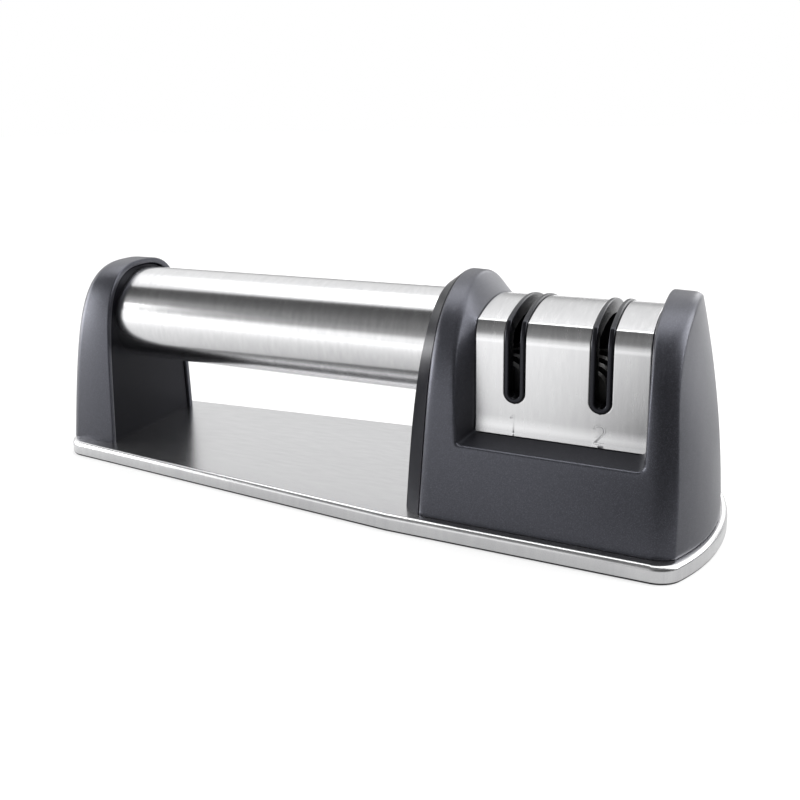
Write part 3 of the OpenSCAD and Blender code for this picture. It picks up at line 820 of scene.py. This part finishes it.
def build_end_cover():
    """End cover of the housing: a leaning face inside a sloped rim, with a soft edge between them."""
    edge_reach = 0.9
    edge_steps, rim_steps = 8, 10
    # The rim stops this far short of the housing's edge, and a narrow step leads in from there
    tip_gap = 0.25
    step_in = 0.15
    step_back = 0.02
    angles = arch_angles()
    front = arch_points(angles, HOUSING_W - 2 * BEVEL_SIDE, CHEEK_LEFT_H - BEVEL_TOP, BASE_H, FACE_SHAPE)
    full = arch_points(angles, HOUSING_W, CHEEK_LEFT_H, BASE_H, HOUSING_SHAPE)
    drawn = cheek_radius(full[:, 1]) * (1 - math.cos(CHEEK_TURN))

    def lean(p, back):
        return np.c_[FACE_X + FACE_LEAN * (p[:, 1] - BASE_H) + back, p]

    def rim_ring(inset, back):
        points = arch_points(angles, HOUSING_W - 2 * inset, CHEEK_LEFT_H - inset, BASE_H, HOUSING_SHAPE)
        return lean(points, back)

    edge = lean(front, 0)
    far = rim_ring(drawn, BEVEL_LEN)
    centre = np.array([FACE_X, 0, BASE_H])
    middle = centre + (edge - centre) * 0.5
    middle[:, 0] = FACE_X + FACE_LEAN * (middle[:, 2] - BASE_H)
    inner = toward(edge, middle, edge_reach)
    outer = toward(edge, far, edge_reach)
    tip = toward(far, edge, tip_gap)
    rows = [inner * (1 - k) ** 2 + edge * 2 * k * (1 - k) + outer * k**2
            for k in np.linspace(0, 1, edge_steps)]
    rows += [outer + (tip - outer) * k for k in np.linspace(0, 1, rim_steps)[1:]]
    rows += [rim_ring(inset, BEVEL_LEN - step_back) for inset in (drawn + step_in, WALL)]
    build = Build()
    build.grid(rows, close=True)
    build.cap(rows[0])
    build.cap(rows[-1])
    obj = build.piece("housing_end_cover", panel_plastic, sharp=60)
    weigh_normals(obj)
    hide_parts("housing_panel")


# Steel cover and slot liners


def cover_rows():
    """Arc lengths of the cover's rows, closer together at the slots' round ends, and its whole length."""
    first, second, third, half = cover_lengths()
    start = SLOT_FOOT - COVER_FOOT
    radius = SLOT_W / 2
    round_end = start + radius * (1 - np.cos(np.linspace(0, math.pi / 2, 13)))
    # Each stretch of rows is its start, its end and its number of rows
    stretches = (
        (0, start, 8), (start + radius, first, 12), (first, second, 14), (second, third, 8),
        (third, half, 12))
    front = np.concatenate([round_end] + [np.linspace(*stretch) for stretch in stretches])
    front = np.unique(front.round(6))
    return np.concatenate([front, (2 * half - front[::-1])[1:]]), 2 * half


def strip_outline(path, line):
    """Outline of a stroke of width line along a path of points."""
    path = np.asarray(path, float)
    step = np.gradient(path, axis=0)
    side = np.c_[-step[:, 1], step[:, 0]] / np.linalg.norm(step, axis=1)[:, None]
    return np.vstack([path + side * line / 2, (path - side * line / 2)[::-1]])


def digit_strokes():
    """Centre lines of the plain figures 1 and 2, standing on y = 0 with their middle at x = 0.

    Where two strokes meet, the end of one lies a little inside the other.
    """
    h = DIGIT_H
    flag_w, flag_h = 0.19 * h, 0.2 * h
    bowl_r = 0.27 * h
    foot_y = 0.2
    bowl_turns = np.radians(np.linspace(165, -35, 22))
    stem = [[0, 0], [0, h]]
    flag = [[0.02, h - 0.12], [-flag_w, h - flag_h]]
    bowl = [[bowl_r * math.cos(t), h - bowl_r + bowl_r * math.sin(t)] for t in bowl_turns]
    neck_end = [-bowl_r + 0.1, 0.12]
    foot = [[-bowl_r - 0.05, foot_y], [bowl_r, foot_y]]
    return [stem, flag], [bowl + [neck_end], foot]


def cut_strokes(obj, strokes, x):
    """Presses strokes into the cover's front face, with sloping sides."""
    # Width of a stroke at the surface, its depth, the slope of its sides and the tool's reach above
    line, depth, slope, above = 0.5, 0.1, 1.0, 0.5
    for stroke in strokes:
        ends = []
        for sink in (-above, depth):
            ring = strip_outline(stroke, line - 2 * slope * sink)
            y, z = on_saddle(ring[:, 1] + DIGIT_LIFT, sink)
            ends.append(np.c_[ring[:, 0] + x, y, z])
        build = Build()
        build.grid(ends, close=True)
        build.cap(ends[0])
        build.cap(ends[1])
        tool = build.piece("press_tool", cover_steel)
        modify(obj, "press", "BOOLEAN", operation="DIFFERENCE", solver="EXACT", object=tool)
        bake_modifiers(obj)
        bpy.data.objects.remove(tool)


def build_steel_cover():
    """Saddle sheet with its slots and figures, brushed up and down."""
    edge_r = 0.14
    # Columns of faces left of the slots, between them and right of them, besides a strip at each edge
    columns = (9, 15, 10)
    strip = 0.3
    radius = SLOT_W / 2
    rows, total = cover_rows()
    up_slot = np.minimum(rows, total - rows) - (SLOT_FOOT - COVER_FOOT)
    reach = np.clip(radius - up_slot, 0, radius)
    opening = np.where(up_slot <= 0, 0, np.sqrt(np.maximum(0, radius**2 - reach**2)))
    edges = [np.full(len(rows), COVER_X)]
    for slot_x in SLOT_X:
        edges += [slot_x - opening, slot_x + opening]
    edges.append(np.full(len(rows), COVER_X + COVER_LEN))
    y, z = on_saddle(rows, 0)
    build = Build()
    for left, right, count in zip(edges[::2], edges[1::2], columns):
        patch = []
        for x0, x1, row_y, row_z in zip(left, right, y, z):
            xs = np.r_[x0, np.linspace(x0 + strip, x1 - strip, count), x1]
            patch.append(np.c_[xs, np.full(len(xs), row_y), np.full(len(xs), row_z)])
        patch = np.array(patch)
        uv = np.dstack([patch[:, :, 0], np.repeat(rows[:, None], patch.shape[1], axis=1)])
        build.grid(patch, uv)
    obj = build.piece("saddle_cover", cover_steel)
    modify(obj, "sheet", "SOLIDIFY", thickness=SHEET * MM, offset=-1, use_even_offset=True)
    modify(
        obj, "edge", "BEVEL", width=edge_r * MM, segments=2, use_clamp_overlap=False,
        limit_method="ANGLE", angle_limit=math.radians(60))
    bake_modifiers(obj)
    for strokes, slot_x in zip(digit_strokes(), SLOT_X):
        cut_strokes(obj, strokes, slot_x)
    weigh_normals(obj)
    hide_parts("steel_cover")


def build_slot_liner(index):
    """Liner of a slot: a frame swept round the slot's outline on the curved cover."""
    # Rows this close to a round end belong to it
    same = 1e-6
    edge_r = 0.4
    outer = SLOT_W / 2 - SEAT_GAP
    inner = BLADE_GAP / 2
    middle, half = (outer + inner) / 2, (outer - inner) / 2
    start = SLOT_FOOT + SLOT_W / 2 - COVER_FOOT
    rows, total = cover_rows()
    straight = rows[(rows > start + same) & (rows < total - start - same)]

    def round_end(centre, side):
        ends = []
        for t in np.linspace(0, math.pi, 25):
            across, up = side * math.cos(t), side * math.sin(t)
            ends.append([middle * across, centre + middle * up, across, up])
        return ends

    # Each stop of the path is [x, arc length, sideways x, sideways arc length]
    stops = [[middle, s, 1, 0] for s in straight] + round_end(total - start, 1)
    stops += [[-middle, s, -1, 0] for s in straight[::-1]] + round_end(start, -1)
    # Each corner of the section is [sideways, height over the cover]
    arc = np.linspace(0, math.pi / 2, 6)
    section = [[-half, -LINER_DEPTH]]
    section += [[-half + edge_r * (1 - math.cos(t)), LINER_PROUD - edge_r * (1 - math.sin(t))] for t in arc]
    section += [[half - edge_r * (1 - math.sin(t)), LINER_PROUD - edge_r * (1 - math.cos(t))] for t in arc]
    section += [[half, -LINER_DEPTH]]
    path = []
    for px, ps, lx, ls in stops:
        ring = []
        for offset, height in section:
            y, z = on_saddle(np.array(ps + offset * ls), -height)
            ring.append([SLOT_X[index] + px + offset * lx, float(y), float(z)])
        path.append(ring)
    path.append(path[0])
    build = Build()
    build.grid(path, close=True)
    obj = build.piece(f"slot_{index + 1}_liner", liner_plastic, sharp=50)
    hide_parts(f"slot_liner_{index + 1}")


# What stays as its CAD solid gets its material, by how its name starts

CAD_MATERIALS = {
    "base_core": inner_plastic,
    "base_screws": screw_steel,
    "handle_plug": inner_plastic,
    "handle_screws": screw_steel,
    "wheel_frame": inner_plastic,
    "axle_pins": pin_steel,
    "hub": inner_plastic,
    # The discs' materials carry painted shade of their slots
    "discs_1": grit_with_painted_shade,
    "discs_2": ceramic_with_painted_shade,
}


def dress_cad_nodes():
    """Gives its material to each CAD node that nothing replaces."""
    for name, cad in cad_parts.items():
        if cad.hide_render:
            continue
        material = next(CAD_MATERIALS[start] for start in CAD_MATERIALS if name.startswith(start))
        cad.data.materials.clear()
        cad.data.materials.append(material)


build_base_plate()
build_pad()
build_post_shell()
build_post_panel()
build_tube()
build_housing_shell()
build_end_cover()
build_steel_cover()
for index in range(len(SLOT_X)):
    build_slot_liner(index)
dress_cad_nodes()


# Studio


def ramp(tree, angle, stops):
    """Level that follows an angle, in radians, through stops of degrees and level."""
    made = node(tree, "ShaderNodeValToRGB", {"Fac": remap(tree, angle, -math.pi, math.pi, 0, 1)})
    elements = made.color_ramp.elements
    while len(elements) > 1:
        elements.remove(elements[-1])
    for i, (degrees, level) in enumerate(stops):
        position = (degrees + 180) / 360
        element = elements[0] if i == 0 else elements.new(position)
        element.position = position
        element.color = (level, level, level, 1)
    return made.outputs["Color"]


def build_floor():
    """White floor with the object's shadow. Shine on the object shows it darker to the front right."""
    size = 6.0
    albedo = 0.34
    # Share of the floor's brightness by the turn from the housing's front, which is at 0, to the right
    turn = ((-180, 1.0), (-14, 1.0), (-4, 0.75), (12, 0.12), (85, 0.08), (105, 0.5), (130, 1.0),
            (150, 0.7), (176, 0.7), (180, 1.0))
    # Point that the turn goes round
    pivot = (0.06, -0.02)
    # Reach is the distance from the pivot's X on the object's axis, with its part along X narrowed
    narrowing = 0.5
    # The share by the turn sets in between these reaches
    onset = (0.055, 0.085)
    # Brightness in shine and to the camera: two reaches, and the levels there
    in_shine = (0.05, 0.3, 0.4, 1.5)
    to_camera = (0.3, 1.0, 0.63, 0.72)
    material, tree, principled = shader("floor_white", Roughness=0.9, Specular_IOR_Level=0.0)
    path = node(tree, "ShaderNodeLightPath")
    glossy = path.outputs["Is Glossy Ray"]
    coords = node(tree, "ShaderNodeTexCoord")
    parts = node(tree, "ShaderNodeSeparateXYZ", {"Vector": coords.outputs["Object"]})
    x = math_node(tree, "SUBTRACT", parts.outputs["X"], pivot[0])
    y = math_node(tree, "SUBTRACT", pivot[1], parts.outputs["Y"])
    share = ramp(tree, math_node(tree, "ARCTAN2", x, y), turn)
    x_squared = math_node(tree, "POWER", math_node(tree, "MULTIPLY", x, narrowing), 2.0)
    y_squared = math_node(tree, "POWER", parts.outputs["Y"], 2.0)
    reach = math_node(tree, "SQRT", math_node(tree, "ADD", x_squared, y_squared))
    share = blend_colours(tree, remap(tree, reach, *onset, 0, 1), grey(1.0), share)
    share = blend_colours(tree, glossy, grey(1.0), share)
    seen = math_node(tree, "MAXIMUM", path.outputs["Is Camera Ray"], path.outputs["Is Transmission Ray"])
    seen_light = math_node(tree, "MULTIPLY", seen, remap(tree, reach, *to_camera))
    light = node(
        tree, "ShaderNodeMix", {"Factor": glossy, "A": seen_light, "B": remap(tree, reach, *in_shine)},
        data_type="FLOAT")
    tree.links.new(blend_colours(tree, share, grey(0.0), grey(albedo)), principled.inputs["Base Color"])
    tree.links.new(share, principled.inputs["Emission Color"])
    tree.links.new(light.outputs["Result"], principled.inputs["Emission Strength"])
    mesh = bpy.data.meshes.new("floor")
    corners = [(-size, -size, 0), (size, -size, 0), (size, size, 0), (-size, size, 0)]
    mesh.from_pydata(corners, [], [(0, 1, 2, 3)])
    mesh.materials.append(material)
    obj = bpy.data.objects.new("floor", mesh)
    bpy.context.scene.collection.objects.link(obj)


def build_world():
    """White studio behind and above, with the dark room in front of the object, most to the right."""
    # Level by the angle that climbs from the horizon in front, over the top, to the back
    climb = ((-180, 1.0), (-8, 1.3), (8, 1.3), (12, 0.9), (17, 0.4), (30, 0.27), (41, 0.26), (52, 0.19),
             (64, 0.13), (75, 0.1), (80, 1.5), (112, 1.5), (124, 1.35), (146, 1.15), (156, 1.0), (163, 0.85),
             (171, 0.45), (180, 0.3))
    # Share that is left of it by the turn from the front, which is at 0, to the right
    turn = ((-180, 1.0), (-92, 1.2), (-82, 6.0), (-54, 6.0), (-45, 1.5), (-24, 1.25), (-14, 1.0), (-4, 0.6),
            (12, 0.1), (85, 0.06), (105, 0.4), (150, 1.0), (166, 4.5), (179, 4.5), (180, 1.0))
    # That share fades out over these heights, as sines of the angle over the horizon
    fade = (0.35, 0.6)
    world = bpy.data.worlds.new("studio")
    bpy.context.scene.world = world
    world.use_nodes = True
    tree = world.node_tree
    coords = node(tree, "ShaderNodeTexCoord")
    parts = node(tree, "ShaderNodeSeparateXYZ", {"Vector": coords.outputs["Generated"]})
    front = math_node(tree, "MULTIPLY", parts.outputs["Y"], -1.0)
    up = math_node(tree, "ARCTAN2", parts.outputs["Z"], front)
    across = math_node(tree, "ARCTAN2", parts.outputs["X"], front)
    height = math_node(tree, "ABSOLUTE", parts.outputs["Z"])
    share = blend_colours(tree, remap(tree, height, *fade, 1, 0), grey(1.0), ramp(tree, across, turn))
    level = node(
        tree, "ShaderNodeMix", {"Factor": 1.0, "A": ramp(tree, up, climb), "B": share},
        data_type="RGBA", blend_type="MULTIPLY")
    light = node(tree, "ShaderNodeBackground", {"Color": level.outputs["Result"], "Strength": 1.0})
    seen = node(tree, "ShaderNodeBackground", {"Color": (1, 1, 1, 1), "Strength": 1.0})
    path = node(tree, "ShaderNodeLightPath")
    mix = node(tree, "ShaderNodeMixShader", {
        0: path.outputs["Is Camera Ray"], 1: light.outputs[0], 2: seen.outputs[0]})
    tree.links.new(mix.outputs[0], tree.nodes["World Output"].inputs["Surface"])


def set_up(name, data, position, right, up, back):
    """Object at a position, in metres, whose own axes point right, up and back."""
    obj = bpy.data.objects.new(name, data)
    bpy.context.scene.collection.objects.link(obj)
    axes = np.vstack([np.c_[right, up, back], [0, 0, 0]])
    obj.matrix_world = Matrix(np.c_[axes, [*position, 1]].tolist())
    return obj


def build_lamp(name, centre, target, width, height, power):
    """Rectangular lamp that faces a target. Lengths are metres and power is watts."""
    data = bpy.data.lights.new(name, "AREA")
    data.shape = "RECTANGLE"
    data.size = width
    data.size_y = height
    data.energy = power
    position = np.array(centre, float)
    back = position - np.array(target, float)
    back /= np.linalg.norm(back)
    right = np.cross((0, 0, 1), back)
    right /= np.linalg.norm(right)
    set_up(name, data, position, right, np.cross(back, right), back)


def build_camera():
    """Camera of the photograph, found by fitting the object's edges."""
    yaw, pitch, roll = 0.4550, 0.2118, -0.0219
    # Focal length, optical centre and width of the photograph, in pixels
    focal, centre_x, centre_y, image = 872.93, 371.20, 304.31, 800
    sensor = 36.0
    position = np.array([111.73, -223.39, 105.84]) * MM
    forward = np.array([
        -math.sin(yaw) * math.cos(pitch), math.cos(yaw) * math.cos(pitch), -math.sin(pitch)])
    level = np.array([math.cos(yaw), math.sin(yaw), 0])
    upright = np.cross(level, forward)
    right = math.cos(roll) * level + math.sin(roll) * upright
    up = -math.sin(roll) * level + math.cos(roll) * upright
    data = bpy.data.cameras.new("camera")
    data.sensor_width = sensor
    data.lens = sensor * focal / image
    data.shift_x = (image / 2 - centre_x) / image
    data.shift_y = (centre_y - image / 2) / image
    data.clip_start = 0.01
    bpy.context.scene.camera = set_up("camera", data, position, right, up, -forward)


build_floor()
build_world()
build_lamp("overhead", centre=(0.0, 0.15, 0.9), target=(0.0, 0.0, 0.0), width=1.4, height=0.5, power=5)
build_lamp(
    "left", centre=(-0.5, -0.22, 0.12), target=(-0.09, -0.02, 0.04), width=0.3, height=0.24, power=1.45)
build_lamp("right", centre=(0.4, 0.1, 0.24), target=(0.06, -0.02, 0.05), width=0.3, height=0.26, power=1.3)
build_camera()
bpy.context.scene.view_settings.view_transform = "Standard"
